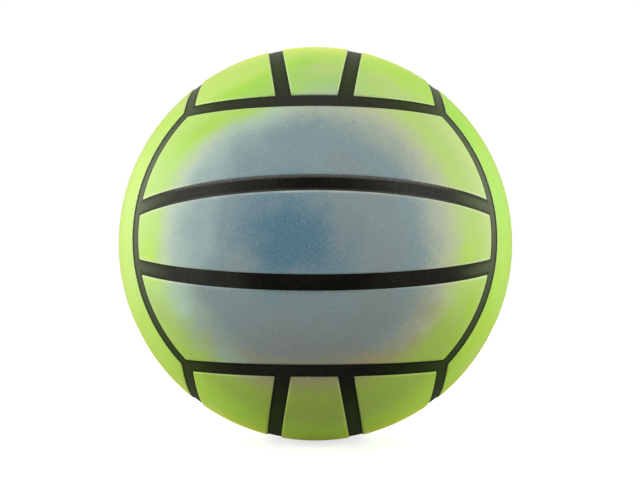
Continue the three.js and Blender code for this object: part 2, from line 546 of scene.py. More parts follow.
@dataclass(frozen=True)
class ChannelFinish:
    """Black paint in the channels, thick and grainy on the patches and thin over olive rubber elsewhere.

    Attributes:
        radius: Radius of the ball.
        seam: The plane of the seam above the front's and the back's middle panel.
        border: The plane on which two sides meet.
        black: Colour of the thick paint.
        brown: Colour of the grains in it.
        dust: Colour of the spray that settled on it.
        olive: Colour of the thin paint.
        olive_reflection: Paler, greyer olive on the left and the right of the ball, more so higher up: a
            painted reflection.
        corner_shade: Darker green near the panels' edges, painted shade in the channel's corners.
        patch: Where the patches lie.
        thin: Angles from a patch's middle, in degrees, where the paint begins to thin and is thinnest.
        grains: Grains per metre.
        clouds: Clouds per metre that make it uneven.
        roughness: How matt it is.
        gloss: Strength of its reflections.
    """

    radius: float
    seam: EdgePlane
    border: EdgePlane
    black: Colour = linear(7, 6, 3)
    brown: Colour = linear(40, 32, 24)
    dust: Colour = linear(112, 112, 104)
    olive: Colour = linear(46, 61, 16)
    olive_reflection: Colour = linear(98, 107, 78)
    corner_shade: Colour = linear(30, 46, 4)
    patch: Patch = Patch()
    thin: tuple[float, float] = (34, 54)
    grains: float = 1000.0
    clouds: float = 40.0
    roughness: float = 0.5
    gloss: float = 0.06

    def off_middle(self, graph: Graph) -> Term:
        """Distance along the cover from the middle of the nearest channel.

        The pairs of sides follow each other in a ring, so that each is the last one with its axes shifted.
        A place is on the pair whose border it is beyond in the outward axis and short of in the across axis.

        Args:
            graph: The graph to add to.

        Returns:
            The distance in metres.
        """
        x, y, z = (abs(part) * self.radius for part in graph.direction)
        distance = 0
        for outward, across in ((y, z), (x, y), (z, x)):
            to_end = self.border.above(outward, 0)
            to_side = self.border.above(across, 0) * -1
            to_seam = abs(self.seam.above(across, outward))
            inside = to_end.calculate("MINIMUM", to_end, to_side)
            nearest = inside.calculate("MINIMUM", inside, to_seam)
            distance = inside.calculate("GREATER_THAN", inside, 0) * nearest + distance
        return distance

    def settled(self, graph: Graph, angle: Term) -> Term:
        """Share of the spray that settled on the paint.

        It lies along the seam above the middle panel, mostly on its upper edge, and as a thin veil away from
        the patch's middle, which is thinnest at the lower right and on the border below the patch.

        Args:
            graph: The graph to add to.
            angle: Angle from the patch's middle.

        Returns:
            The share.
        """
        x, y, z = graph.direction
        height = self.seam.above(z * self.radius, abs(y) * self.radius)
        edges = height.ease(1.9 * MM, 3.6 * MM) + height.ease(-2.2 * MM, -3.6 * MM) * 0.4
        edges = edges * abs(height).ease(5.6 * MM, 4.6 * MM) * angle.ease_degrees(50, 34)
        lower_right = x.ease(0.0, 0.35) * z.ease(0.0, -0.15)
        bottom = z.ease(-0.35, -0.5)
        veil = angle.ease_degrees(12, 30) * (1 - lower_right * 0.7) * (1 - bottom * 0.6)
        return edges * 0.6 + veil * 0.14

    def paint(self, graph: Graph, grain: Term) -> Term:
        """The paint's colour, with a painted reflection on the left and the right and painted shade by the
        panels.

        Args:
            graph: The graph to add to.
            grain: Fine noise about 0.

        Returns:
            The colour.
        """
        x, _, z = graph.direction
        cloud = graph.noise(self.clouds, 3)
        angle = self.patch.angle(graph) + cloud * 0.2
        grains = (grain + cloud * 0.25).ease(-0.04, 0.32)
        dust = self.settled(graph, angle) * (1 + grain * 2)
        # Painted reflection: the thin paint turns paler and greyer towards the left and the right, more so
        # higher up.
        sides = abs(x).ease(0.4, 0.8) * z.ease(-0.9, 0.4)
        # Painted shade: the thin paint darkens near the panels' edges, in the channel's corners.
        shaded_by_panels = self.off_middle(graph).ease(1.2 * MM, 3.3 * MM) * 0.75
        olive = graph.coated(self.olive, (sides, self.olive_reflection), (shaded_by_panels, self.corner_shade))
        thin = angle.ease_degrees(*self.thin) * (1 - grain.ease(0.3, -0.3) * 0.3)
        return graph.coated(self.black, (grains, self.brown), (dust, self.dust), (thin, olive))

    def material(self) -> bpy.types.Material:
        """Builds the finish.

        Returns:
            The material.
        """
        graph = Graph(bpy.data.materials.new("channel_paint"))
        grain = graph.noise(self.grains, 4, GRITTY)
        return graph.principled({
            "Base Color": self.paint(graph, grain),
            "Roughness": self.roughness + grain * 0.2,
            "Specular IOR Level": self.gloss,
            "Normal": graph.bump(grain, 0.25),
        })


class Drift:
    """Ways over the ball, each strayed by slow noise so that no finish ends on a clean line.

    A way is a share of the ball's radius, and a zone is a share from 0 to 1.

    Attributes:
        graph: The graph that they are in.
        angle: Angle from the patch's middle.
        x: Way to the right, without noise.
        z: Way up, without noise.
        cloud: Slow noise about 0.
        streak: Slower noise about 0.
        right: Way to the right.
        left: Way to the left.
        down: Way down.
        upper_left: Way to the upper left.
        upper_right: Way to the upper right.
        lower: Zone of the lower half.
        below: The same with a straighter border.
        printed: Zone of the front and of the back.
    """

    CLOUDS_PER_METRE = 34.0
    STREAKS_PER_METRE = 22.0

    def __init__(self, graph: Graph, angle: Term) -> None:
        """Works out the ways and the zones.

        Args:
            graph: The graph to add to.
            angle: Angle from the patch's middle.
        """
        self.graph = graph
        self.angle = angle
        self.x, y, self.z = graph.direction
        self.cloud = graph.noise(self.CLOUDS_PER_METRE, 3)
        self.streak = graph.noise(self.STREAKS_PER_METRE, 3)
        self.right = self.x + self.cloud
        self.left = self.streak - self.x
        self.down = self.cloud - self.z
        self.upper_left = self.left - self.down * 0.6
        self.upper_right = self.x * 0.85 + self.z * 0.6 + self.streak
        self.lower = self.down.ease(0.05, 0.45)
        self.below = (self.cloud * 0.4 - self.z).ease(0.05, 0.45)
        self.printed = abs(y).ease(*AT_BORDER) * abs(self.z).ease(*reversed(AT_BORDER))


@dataclass(frozen=True)
class CoverFinish:
    """Semi-gloss lime rubber with a sprayed patch, and black paint that strays onto its edges.

    Attributes:
        channel: The paint of the channels.
        lime: Colour of the bare rubber.
        fresh: Greener colour that it has in places.
        haze: Paler colour that it has in places.
        cool_silver: Pale undercoat round the patch, on its left.
        warm_silver: The same on its right.
        pale_silver: The same at its upper left fringe.
        steel: Grey-blue body of the patch.
        slate: Neutral grey on the patch's right and low on it.
        blue: Deeper blue at the patch's heart.
        tan: Brownish undercoat under the patch.
        umber_and_shade: Dark brown, painted shade in the lower half of the front and the back, and a thin
            overspray at the patch's upper left.
        edge_highlight: Painted highlight along the green panels' rounded edges.
        patch_edge_highlight: Painted highlight along the rounded edges on the patch.
        black: Colour of the dark grains and of the stray paint.
        patch: Where the patches lie.
        heart_place: Where their hearts lie.
        overspray_and_shade: Where the dark brown lies, the coat that reaches furthest.
        mist: The thin pale coat.
        undercoat: The pale coat.
        body: The grey-blue coat.
        heart: The blue coat.
        blue_clouds: Where the blue shows in clouds.
        swells: Slow waves of the patch's border per metre.
        ripples: Finer waves of it per metre.
        highlight_patches: Patches per metre in which the painted highlight on the patch's edges is stronger
            or weaker.
        grains: Grains of the spray per metre.
        specks: Specks of stray paint per metre.
        pimples: Pimples of the rubber's skin per metre.
        roughness: How matt the rubber is.
        gloss: Strength of its reflections.
        sheen: Strength of its sheen.
        sheen_roughness: How wide the sheen spreads.
        sheen_tint: Colour of the sheen.
    """

    channel: ChannelFinish
    lime: Colour = linear(182, 227, 74)
    fresh: Colour = linear(150, 226, 66)
    haze: Colour = linear(203, 228, 145)
    cool_silver: Colour = linear(170, 189, 187)
    warm_silver: Colour = linear(185, 183, 169)
    pale_silver: Colour = linear(188, 196, 193)
    steel: Colour = linear(128, 150, 153)
    slate: Colour = linear(133, 142, 139)
    blue: Colour = linear(60, 107, 131)
    tan: Colour = linear(168, 147, 123)
    umber_and_shade: Colour = linear(98, 87, 43)
    edge_highlight: Colour = linear(228, 241, 194)
    patch_edge_highlight: Colour = linear(214, 214, 208)
    black: Colour = linear(26, 23, 19)
    patch: Patch = Patch()
    heart_place: Patch = Patch((-0.1, 1.0, -0.03))
    overspray_and_shade: Spray = Spray(64, 46, 0.28)
    mist: Spray = Spray(60, 48, 0.34)
    undercoat: Spray = Spray(44.5, 35, 0.8)
    body: Spray = Spray(38.5, 27, 1.0)
    heart: Spray = Spray(21, 2, 0.8)
    blue_clouds: Spray = Spray(32, 24, 0.35)
    swells: float = 26.0
    ripples: float = 130.0
    highlight_patches: float = 90.0
    grains: float = 1700.0
    specks: float = 1300.0
    pimples: float = 800.0
    roughness: float = 0.47
    gloss: float = 0.2
    sheen: float = 0.6
    sheen_roughness: float = 0.3
    sheen_tint: Colour = linear(255, 246, 80)

    def material(self) -> bpy.types.Material:
        """Builds the finish.

        The patch is drawn by the angle from its middle, blurred by slow noise and dusted with fine grain.
        It stops short at its upper left and reaches further up beside that.

        Returns:
            The material.
        """
        graph = Graph(bpy.data.materials.new("cover_rubber"))
        x, _, z = graph.direction
        grain = graph.noise(self.grains)
        blur = graph.noise(self.swells) * 0.12 + graph.noise(self.ripples) * 0.07 + grain * 0.14
        short = x.ease(0.1, -0.3) * 0.19 - x.ease(0.35, 0.15) * 0.06
        angle = self.patch.angle(graph) + blur + short * z.ease(0.4, 0.6)
        drift = Drift(graph, angle)
        body = self.body.cover(angle)
        cloudy = drift.cloud.ease(-0.03, 0.15) * drift.down.ease(-0.25, -0.55)
        heart = self.heart.cover(self.heart_place.angle(graph) + blur)
        uneven = (1 - drift.cloud.ease(0.02, 0.2) * 0.5) * (1 - drift.lower * 0.6)
        colour = graph.coated(
            self.pale_coats(drift, self.rubber(drift)),
            (body, self.body_colour(drift)),
            (self.blue_clouds.cover(angle) * cloudy, self.blue),
            (heart * uneven, self.blue),
            (grain.ease(0, 0.3) * body * 0.22, self.warm_silver),
            (grain.ease(0, -0.3) * (0.05 + body * 0.2), self.black),
        )
        return graph.principled({
            "Base Color": self.edges(drift, colour, body),
            "Roughness": self.roughness + body * 0.06 + grain * 0.1,
            "Specular IOR Level": self.gloss,
            "Sheen Weight": self.sheen,
            "Sheen Roughness": self.sheen_roughness,
            "Sheen Tint": self.sheen_tint,
            "Normal": graph.bump(graph.noise(self.pimples, 3, 0.6), 0.1),
        })

    def rubber(self, drift: Drift) -> Term:
        """The lime rubber, greener or paler in places, with painted shade low on it and a dark overspray.

        Args:
            drift: The ways over the ball.

        Returns:
            The colour.
        """
        angle, z = drift.angle, drift.z
        top = z.ease(0.56, 0.64)
        shoulder = z.ease(0.3, 0.5) * drift.left.ease(-0.1, 0.15)
        right_corner = drift.upper_right.ease(0.4, 0.7) * angle.ease_degrees(45.8, 55)
        left_corner = shoulder * angle.ease_degrees(43.5, 51.6)
        crown = top * drift.left.ease(-0.45, 0.0) * angle.ease_degrees(56.1, 60.7)
        fresh = drift.streak.ease(0.02, 0.2) * 0.3
        fresh = fresh + drift.upper_right.ease(0.45, 0.85) * (1 - drift.printed) * 0.5
        fresh = fresh + top * drift.left.ease(0.0, 0.25) * angle.ease_degrees(60.2, 54.4) * 0.4
        haze = drift.streak.ease(-0.02, -0.2) * 0.3 + drift.left.ease(0.4, 0.9) * 0.26
        haze = haze + drift.printed * (right_corner * 0.65 + left_corner * 0.3) + crown * 0.3
        # Painted shade darkens the lower half of the front and the back, except at the far left; the upper
        # left shoulder has a thin dark overspray.
        dark = drift.below * drift.left.ease(0.7, 0.35) + shoulder * 0.5
        dark = self.overspray_and_shade.cover(angle) * dark
        return drift.graph.coated(self.lime, (fresh, self.fresh), (haze, self.haze), (dark, self.umber_and_shade))

    def pale_coats(self, drift: Drift, colour: Term) -> Term:
        """The mist and the undercoat round the patch, pale at the upper left and brownish below.

        Args:
            drift: The ways over the ball.
            colour: Colour of the rubber.

        Returns:
            The colour with both coats.
        """
        left, right, down = drift.left, drift.right, drift.down
        fringe = drift.angle.ease_degrees(32.7, 36.7) * left.ease(0.3, 0.5) * down.ease(0.25, 0.05)
        silver = drift.graph.coated(
            self.cool_silver,
            (right.ease(-0.3, 0.3), self.warm_silver),
            (fringe, self.pale_silver),
            (down.ease(0.2, 0.5) * 0.6, self.slate),
            ((down + drift.x * 0.2).ease(0.32, 0.58), self.tan),
        )
        crest = drift.z.ease(0.3, 0.45) * left.ease(0.0, 0.25)
        flank = down.ease(0.0, 0.15) * right.ease(0.45, 0.65)
        thin = 1 - drift.lower * 0.5 - left.ease(0.3, 0.7) * 0.45 - crest * 0.6 - flank * 0.4
        mist, undercoat = self.mist.cover(drift.angle) * thin, self.undercoat.cover(drift.angle)
        return drift.graph.coated(colour, (mist, silver), (undercoat, silver))

    def body_colour(self, drift: Drift) -> Term:
        """The grey-blue of the patch, paler at its upper left and greyer on its right and low on it.

        Args:
            drift: The ways over the ball.

        Returns:
            The colour.
        """
        pale = drift.upper_left.ease(0.38, 0.68) * 0.5
        right = drift.right.ease(-0.1, 0.35) * drift.down.ease(-0.4, -0.2) * 0.55
        right = right * drift.angle.ease_degrees(28.6, 20.6)
        low = drift.down.ease(0.1, 0.5) * (1 - abs(drift.x).ease(0.15, 0.4) * 0.6)
        coats = ((pale, self.cool_silver), (right, self.slate), (low, self.slate))
        return drift.graph.coated(self.steel, *coats)

    def edges(self, drift: Drift, colour: Term, body: Term) -> Term:
        """Paints highlights along the panels' edges and lets the channels' black paint stray onto them.

        Both go by the distance from the panel's edge in millimetres, which the mesh carries. The painted
        highlights are strongest high on the ball, where the edges face the light. The paint smudges the
        edges above and below the middle panel, most of all half way between left and right.

        Args:
            drift: The ways over the ball.
            colour: Colour of the panel's face.
            body: Share of the sprayed patch.

        Returns:
            The colour with its edges.
        """
        x, z, graph = drift.x, drift.z, drift.graph
        edge = graph.node("ShaderNodeAttribute", {"attribute_name": "edge"}, {}, "Fac")
        speck = graph.noise(self.specks, 3, GRITTY)
        patchy = 0.6 + graph.noise(self.highlight_patches) * 1.6
        upper = z.ease(*AT_SEAM) * body
        smudge = abs(z).ease(*AT_SEAM) * abs(z).ease(0.64, 0.6) * abs(x).ease(0.42, 0.1)
        side = abs(x).ease(0.55, 0.75)
        # Painted highlight along the green panels' rounded edges: stronger and wider towards the left and
        # the right, weaker low on the ball.
        line = edge.ease(-0.04, 0.22) * (edge * (1 - side * drift.printed * 0.3)).ease(1.0, 0.4)
        highlight_share = 0.42 + side * (0.08 + drift.printed * 0.17) - z.ease(-0.12, -0.25) * 0.32
        # Painted highlight along the patch's rounded edges: patchy, stronger on edges higher up, and left
        # off the upper panel.
        rim = edge.ease(-0.04, 0.28) * edge.ease(1.6, 0.5) * (body - upper) * patchy
        lit_from_above = z.ease(-0.2, 0.16) * 0.45 + 0.05
        stray = (edge + speck * 1.6).ease(1.5, 0.1) * (upper * 0.1 + smudge * (1 - upper) * 0.4)
        return graph.coated(
            colour,
            (line * highlight_share * (1 - body) * (1 - smudge), self.edge_highlight),
            (rim * lit_from_above * (1 - smudge), self.patch_edge_highlight),
            (stray, self.black),
            ((edge + speck * 0.3).ease(0.14, -0.02), self.channel.paint(graph, speck)),
        )


@dataclass(frozen=True)
class RubberFinish:
    """Plain dark rubber with a fine grain.

    Attributes:
        name: Name of the material.
        colour: Colour of the rubber.
        dust: Colour of the paler specks on it.
        roughness: How matt it is.
        gloss: Strength of its reflections.
        grains: Grains per metre.
        clouds: Clouds of specks per metre.
    """

    name: str
    colour: Colour
    dust: Colour
    roughness: float
    gloss: float = 0.3
    grains: float = 900.0
    clouds: float = 36.0

    def material(self) -> bpy.types.Material:
        """Builds the finish: one colour dusted with specks, and a fine bump.

        Returns:
            The material.
        """
        graph = Graph(bpy.data.materials.new(self.name))
        grain = graph.noise(self.grains, 4, GRITTY)
        cloud = graph.noise(self.clouds, 3)
        specks = (grain + cloud * 0.3).ease(-0.05, 0.25)
        return graph.principled({
            "Base Color": graph.coated(self.colour, (specks, self.dust)),
            "Roughness": self.roughness + cloud * 0.16,
            "Specular IOR Level": self.gloss,
            "Normal": graph.bump(grain, 0.2),
        })


@dataclass(frozen=True)
class YarnFinish:
    """Off-white nylon yarn, wound in every direction.

    Attributes:
        yarn: Colour of the yarn.
        gap: Colour between the strands.
        turn: Turn of the strands' waves, in radians per metre.
        depth: Depth of the gaps.
        roughness: How matt the yarn is.
    """

    yarn: Colour = linear(214, 208, 190)
    gap: Colour = linear(120, 112, 96)
    turn: float = 900.0
    depth: float = 0.3 * MM
    roughness: float = 0.8

    def material(self) -> bpy.types.Material:
        """Builds the finish from two sets of bands that cross.

        Returns:
            The material.
        """
        graph = Graph(bpy.data.materials.new("wound_yarn"))
        settings = {"wave_type": "BANDS", "bands_direction": "DIAGONAL"}
        scale = self.turn / WAVE_TURN
        inputs = {"Vector": graph.place, "Scale": scale, "Distortion": 2.0, "Detail": 1.0}
        first = graph.node("ShaderNodeTexWave", settings, inputs, "Fac")
        second = graph.node("ShaderNodeTexWave", {**settings, "bands_direction": "Z"}, inputs, "Fac")
        height = first * 0.5 + second * 0.5
        return graph.principled({
            "Base Color": graph.coated(self.gap, (height.ease(0.15, 0.6), self.yarn)),
            "Roughness": self.roughness,
            "Normal": graph.bump(height, 0.5, self.depth),
        })


def dress(piece: bpy.types.Object, node: str, body: Body, look: bpy.types.Material) -> None:
    """Gives a piece its material, lets it stand for its node and ride on its body, and notes it.

    Args:
        piece: The new piece.
        node: The node of the frame that it stands for.
        body: The body that it moves with.
        look: Its material.
    """
    piece.data.materials.append(look)
    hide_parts(node)
    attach(piece, body.value)
    log.info("%s: %d points, %d faces", piece.name, len(piece.data.vertices), len(piece.data.polygons))


@dataclass
class Valve:
    """The rubber needle valve at the middle of the back, on +Y.

    Attributes:
        face: Height of the valve's face above the ball's centre.
        stem_radius: Radius of the plug's stem.
        stem_length: Length of the stem under the head.
        head_radius: Radius of the plug's head.
        head_thickness: Thickness of the head.
        dish: Depth of the hollow in its face.
        rim: Width of the flat rim round that hollow.
        land: Width of the flat ring round the needle's mouth.
        needle_radius: Radius of the needle's hole.
        lead_in: Depth and extra radius of the cone at its mouth.
        end_wall: Closed length below the needle's hole.
        fit: Gap round the plug.
        rim_wall: Wall of the seat round the head.
        floor: Thickness of the seat's floor.
        air_radius: Radius of the hole in that floor.
        flange_overhang: How far the flange reaches past the barrel.
        flange_radius: Distance of the flange's outer face from the ball's centre.
        flange_thickness: Thickness of the flange.
        flange_points: Points across each of its faces.
        steps: Columns round each turned piece.
    """

    face: float = 109.75 * MM
    stem_radius: float = 2.8 * MM
    stem_length: float = 12 * MM
    head_radius: float = 4.3 * MM
    head_thickness: float = 1.2 * MM
    dish: float = 0.15 * MM
    rim: float = 0.9 * MM
    land: float = 0.3 * MM
    needle_radius: float = 0.9 * MM
    lead_in: float = 0.7 * MM
    end_wall: float = 4 * MM
    fit: float = 0.3 * MM
    rim_wall: float = 2 * MM
    floor: float = 1.5 * MM
    air_radius: float = 1.5 * MM
    flange_overhang: float = 8 * MM
    flange_radius: float = 105.9 * MM
    flange_thickness: float = 1 * MM
    flange_points: int = 9
    steps: int = 72

    @property
    def barrel_radius(self) -> float:
        """Outer radius of the seat's barrel."""
        return self.head_radius + self.fit + self.rim_wall

    @property
    def hole_radius(self) -> float:
        """Radius of the hole that the layers of the ball leave for the barrel."""
        return self.barrel_radius + self.fit

    @property
    def core_bottom(self) -> float:
        """Height of the plug's lower end."""
        return self.face - self.head_thickness - self.stem_length

    def core_surface(self) -> Surface:
        """The plug: a headed stem turned about +Y, with a dished face and a blind needle hole.

        Returns:
            The closed plug.
        """
        head_bottom = self.face - self.head_thickness
        mouth = self.needle_radius + self.lead_in
        hollow = self.face - self.dish
        outline = rounded([
            (0, self.core_bottom, 0),
            (self.stem_radius, self.core_bottom, 1.2 * MM),
            (self.stem_radius, head_bottom, 0.2 * MM),
            (self.head_radius, head_bottom, 0.15 * MM),
            (self.head_radius, self.face, 0.35 * MM),
            (self.head_radius - self.rim, self.face, 0.2 * MM),
            (mouth + self.land, hollow, 0.2 * MM),
            (mouth, hollow, 0.15 * MM),
            (self.needle_radius, hollow - self.lead_in, 0.25 * MM),
            (self.needle_radius, self.core_bottom + self.end_wall, 0.3 * MM),
            (0, self.core_bottom + self.end_wall, 0),
        ])
        return revolve(outline, self.steps)

    def seat_surface(self) -> Surface:
        """The seat: a cup with a stepped bore, and a flange that follows the bladder's inside.

        The flange's two faces are arcs about the ball's centre, where the height is
        sqrt(radius^2 - outward^2) and outward runs from the barrel to the flange's edge.

        Returns:
            The closed seat.
        """
        seat_bottom = self.core_bottom - self.fit - self.floor
        bore_bottom = self.core_bottom - self.fit
        step = self.face - self.head_thickness - self.fit
        counterbore = self.head_radius + self.fit
        bore = self.stem_radius + self.fit
        edge = self.barrel_radius + self.flange_overhang
        under = self.flange_radius - self.flange_thickness
        outward = np.linspace(self.barrel_radius, edge, self.flange_points)
        lower = np.stack([outward, np.sqrt(under**2 - outward**2)], axis=1)
        upper = np.stack([outward, np.sqrt(self.flange_radius**2 - outward**2)], axis=1)[::-1]
        cup = rounded([
            (self.barrel_radius, upper[-1, 1], 0),
            (self.barrel_radius, self.face, 0.3 * MM),
            (counterbore, self.face, 0.2 * MM),
            (counterbore, step, 0.1 * MM),
            (bore, step, 0.2 * MM),
            (bore, bore_bottom, 0.3 * MM),
            (self.air_radius, bore_bottom, 0.2 * MM),
            (self.air_radius, seat_bottom, 0.2 * MM),
            (self.barrel_radius, seat_bottom, 0.4 * MM),
            (self.barrel_radius, lower[0, 1], 0),
        ])
        return revolve(np.concatenate([cup, lower[1:], upper[:-1]]), self.steps)

    def build(self, look: bpy.types.Material) -> None:
        """Makes both pieces of the valve.

        Args:
            look: Material of the valve's rubber.
        """
        seat = self.seat_surface().build("needle_valve_seat")
        dress(seat, "valve_seat", Body.BALL, look)
        core = self.core_surface().build("needle_valve_core")
        dress(core, "valve_core", Body.CORE, look)


@dataclass
class Layer:
    """A round shell of the ball under its cover, with a hole for the valve.

    Attributes:
        name: Name of the piece.
        node: The frame's node that it stands for.
        outer: Outer radius.
        inner: Inner radius.
        slot: The slot of its finish.
        columns: Columns round the valve's axis.
        rows: Rows from the valve to the far pole.
    """

    name: str
    node: str
    outer: float
    inner: float
    slot: Slot
    columns: int = 192
    rows: int = 96

    def surface(self, hole_radius: float) -> Surface:
        """Two arcs about the centre, from the far pole to the valve's hole and back, turned about +Y.

        Args:
            hole_radius: Radius of the valve's hole.

        Returns:
            The closed shell.
        """
        outer_angle = np.linspace(math.pi, math.asin(hole_radius / self.outer), self.rows)
        inner_angle = np.linspace(math.asin(hole_radius / self.inner), math.pi, self.rows)
        angle = np.concatenate([outer_angle, inner_angle])
        radius = np.repeat([self.outer, self.inner], self.rows)
        outline = np.stack([radius * np.sin(angle), radius * np.cos(angle)], axis=1)
        return revolve(outline, self.columns)

    def build(self, hole_radius: float, look: bpy.types.Material) -> None:
        """Makes the layer.

        Args:
            hole_radius: Radius of the valve's hole.
            look: Its material.
        """
        dress(self.surface(hole_radius).build(self.name), self.node, Body.BALL, look)


@dataclass
class Casing:
    """The round layers under the cover.

    Attributes:
        carcass_outer: Outer radius of the carcass, which is the floor of the channels.
        carcass_inner: Inner radius of the carcass.
        winding_outer: Outer radius of the winding.
        winding_inner: Inner radius of the winding.
        bladder_outer: Outer radius of the bladder.
        bladder_inner: Inner radius of the bladder.
    """

    carcass_outer: float
    carcass_inner: float = 107.9 * MM
    winding_outer: float = 107.6 * MM
    winding_inner: float = 107.1 * MM
    bladder_outer: float = 106.8 * MM
    bladder_inner: float = 106.2 * MM

    def build(self, hole_radius: float, looks: dict[Slot, bpy.types.Material]) -> None:
        """Makes the bladder, the winding and the carcass, which shows in the channels and has a finer mesh.

        Args:
            hole_radius: Radius of the valve's hole.
            looks: Material of each slot.
        """
        bladder = Layer("air_bladder", "bladder", self.bladder_outer, self.bladder_inner, Slot.BLADDER)
        winding = Layer("yarn_winding", "winding", self.winding_outer, self.winding_inner, Slot.YARN)
        carcass = Layer(
            "channel_carcass", "carcass", self.carcass_outer, self.carcass_inner, Slot.CHANNEL,
            columns=256, rows=128,
        )
        for layer in (bladder, winding, carcass):
            layer.build(hole_radius, looks[layer.slot])


@dataclass
class Cover:
    """The eighteen panels of the cover.

    Attributes:
        radius: Radius of the ball.
        channel_width: Width of the channels between panels.
        channel_depth: Depth of the channels.
        middle_width: Width of a middle strip, seam to seam, at its middle.
        middle_end_width: The same at its ends.
        corner_radius: Rounding of the panels' corners.
        shoulder: Width of the rounding along the panels' edges.
        shoulder_drop: Height of that rounding.
        apron: Width of the finer rows along the edges.
        cell: Usual step of the mesh.
        bond_gap: Gap between a panel and the carcass.
        hole_margin: Room between the rows round the valve's hole and the even part of the mesh.
        shoulder_rows: Rows on a rounded edge.
        apron_rows: Rows between a rounded edge and the even part of the mesh.
        closing_rows: Rows in the room round the valve's hole.
    """

    radius: float = 110 * MM
    channel_width: float = 7.4 * MM
    channel_depth: float = 0.6 * MM
    middle_width: float = 45 * MM
    middle_end_width: float = 28.5 * MM
    corner_radius: float = 0.7 * MM
    shoulder: float = 1.1 * MM
    shoulder_drop: float = 0.55 * MM
    apron: float = 2 * MM
    cell: float = 2.2 * MM
    bond_gap: float = 0.01 * MM
    hole_margin: float = 3.3 * MM
    shoulder_rows: int = 6
    apron_rows: int = 4
    closing_rows: int = 2

    @property
    def seam(self) -> EdgePlane:
        """The plane of the seam between a side's middle strip and the one beyond it."""
        middle = math.sqrt(self.radius**2 - (self.middle_width / 2) ** 2)
        slope = (self.middle_width - self.middle_end_width) / 2 / (middle - self.corner_plane)
        start = self.middle_end_width / 2 - slope * self.corner_plane
        return EdgePlane(start, slope, math.hypot(1, slope))

    @property
    def border(self) -> EdgePlane:
        """The plane on which two sides meet, past a side's outer strip."""
        return EdgePlane(self.corner_plane, 0, EDGE_LEAN)

    @property
    def corner_plane(self) -> float:
        """Distance from the centre of the planes on which the sides meet."""
        return self.radius / math.sqrt(3)

    @property
    def floor_radius(self) -> float:
        """Radius of the channels' floor."""
        return self.radius - self.channel_depth

    def edge_rows(self) -> np.ndarray:
        """The mesh's rows along a panel's edge: at even angles of the rounded shoulder, then wider.

        Returns:
            Distance of each row from the edge.
        """
        turn = np.linspace(0, math.pi / 2, self.shoulder_rows)
        apron = np.linspace(self.shoulder, self.apron, self.apron_rows)
        return np.concatenate([self.shoulder * (1 - np.cos(turn)), apron[1:]])

    def drop(self, distance: np.ndarray) -> np.ndarray:
        """How far a panel's face lies under the ball's surface at a distance from its edge.

        The shoulder is a quarter of an ellipse: shoulder_drop (1 - sqrt(1 - (1 - distance / shoulder)^2)).
        """
        inward = 1 - np.clip(distance / self.shoulder, 0, 1)
        return self.shoulder_drop * (1 - np.sqrt(1 - inward**2))

    def strip_edges(self, place: int) -> tuple[EdgePlane, EdgePlane]:
        """The planes that bound a strip's panel, half a channel inside the seams.

        Args:
            place: -1, 0 or 1 across the side.

        Returns:
            The lower and the higher plane.
        """
        half = self.channel_width / 2
        if place == 0:
            edge = self.seam.moved(-half)
            return edge.mirrored(), edge
        near, far = self.seam.moved(half), self.border.moved(-half)
        return (far.mirrored(), near.mirrored()) if place < 0 else (near, far)

    def strip_columns(self, low: EdgePlane, high: EdgePlane) -> tuple[np.ndarray, np.ndarray]:
        """The planes on which the columns of a panel's grid lie.

        Columns near an edge keep its slope and their distance from it. The rest go evenly from the one
        edge's columns to the other's.

        Args:
            low: The panel's lower edge.
            high: Its higher edge.

        Returns:
            Start and slope of each plane.
        """
        rows = self.edge_rows()
        width = high.across(self.radius) - low.across(self.radius)
        spread = np.linspace(0, 1, round(width / self.cell))[1:-1]
        low_start, high_start = low.shifted(rows), high.shifted(-rows)[::-1]
        between = np.interp(spread, [0, 1], [low_start[-1], high_start[0]])
        share = np.concatenate([0 * rows, spread, 0 * rows + 1])
        slope = np.interp(share, [0, 1], [low.slope, high.slope])
        return np.concatenate([low_start, between, high_start]), slope

    def strip_grid(self, place: int) -> tuple[np.ndarray, np.ndarray]:
        """A grid of points over one panel, in its side's (outward, across, along) frame.

        Each column lies on a plane across = start + slope * outward, which cuts the ball in a circle
        of radius sqrt(radius^2 - start^2 / (1 + slope^2)). Rows near an end keep their distance
        from it, and the rest spread evenly between.

        Args:
            place: -1, 0 or 1 across the side.

        Returns:
            The points and their distance from the panel's edge.
        """
        low, high = self.strip_edges(place)
        end = self.border.moved(self.channel_width / 2)
        start, slope = self.strip_columns(low, high)
        stretch = np.sqrt(1 + slope**2)
        circle = np.sqrt(self.radius**2 - (start / stretch) ** 2)
        end_rows = end.shifted(self.edge_rows()[:, None])
        end_along = np.sqrt(self.radius**2 - end_rows**2 - (start + slope * end_rows) ** 2)
        half_turn = np.arcsin(end_along[-1] / circle)
        count = round(2 * self.radius * half_turn.max() / self.cell)
        even = circle * np.sin(np.linspace(-1, 1, count)[1:-1, None] * half_turn)
        along = np.concatenate([-end_along, even, end_along[::-1]])
        outward = (np.sqrt(circle**2 - along**2) - start * slope / stretch) / stretch
        grid = np.stack([outward, start + slope * outward, along], axis=-1)
        return self.round_corners(grid, low, high, end)

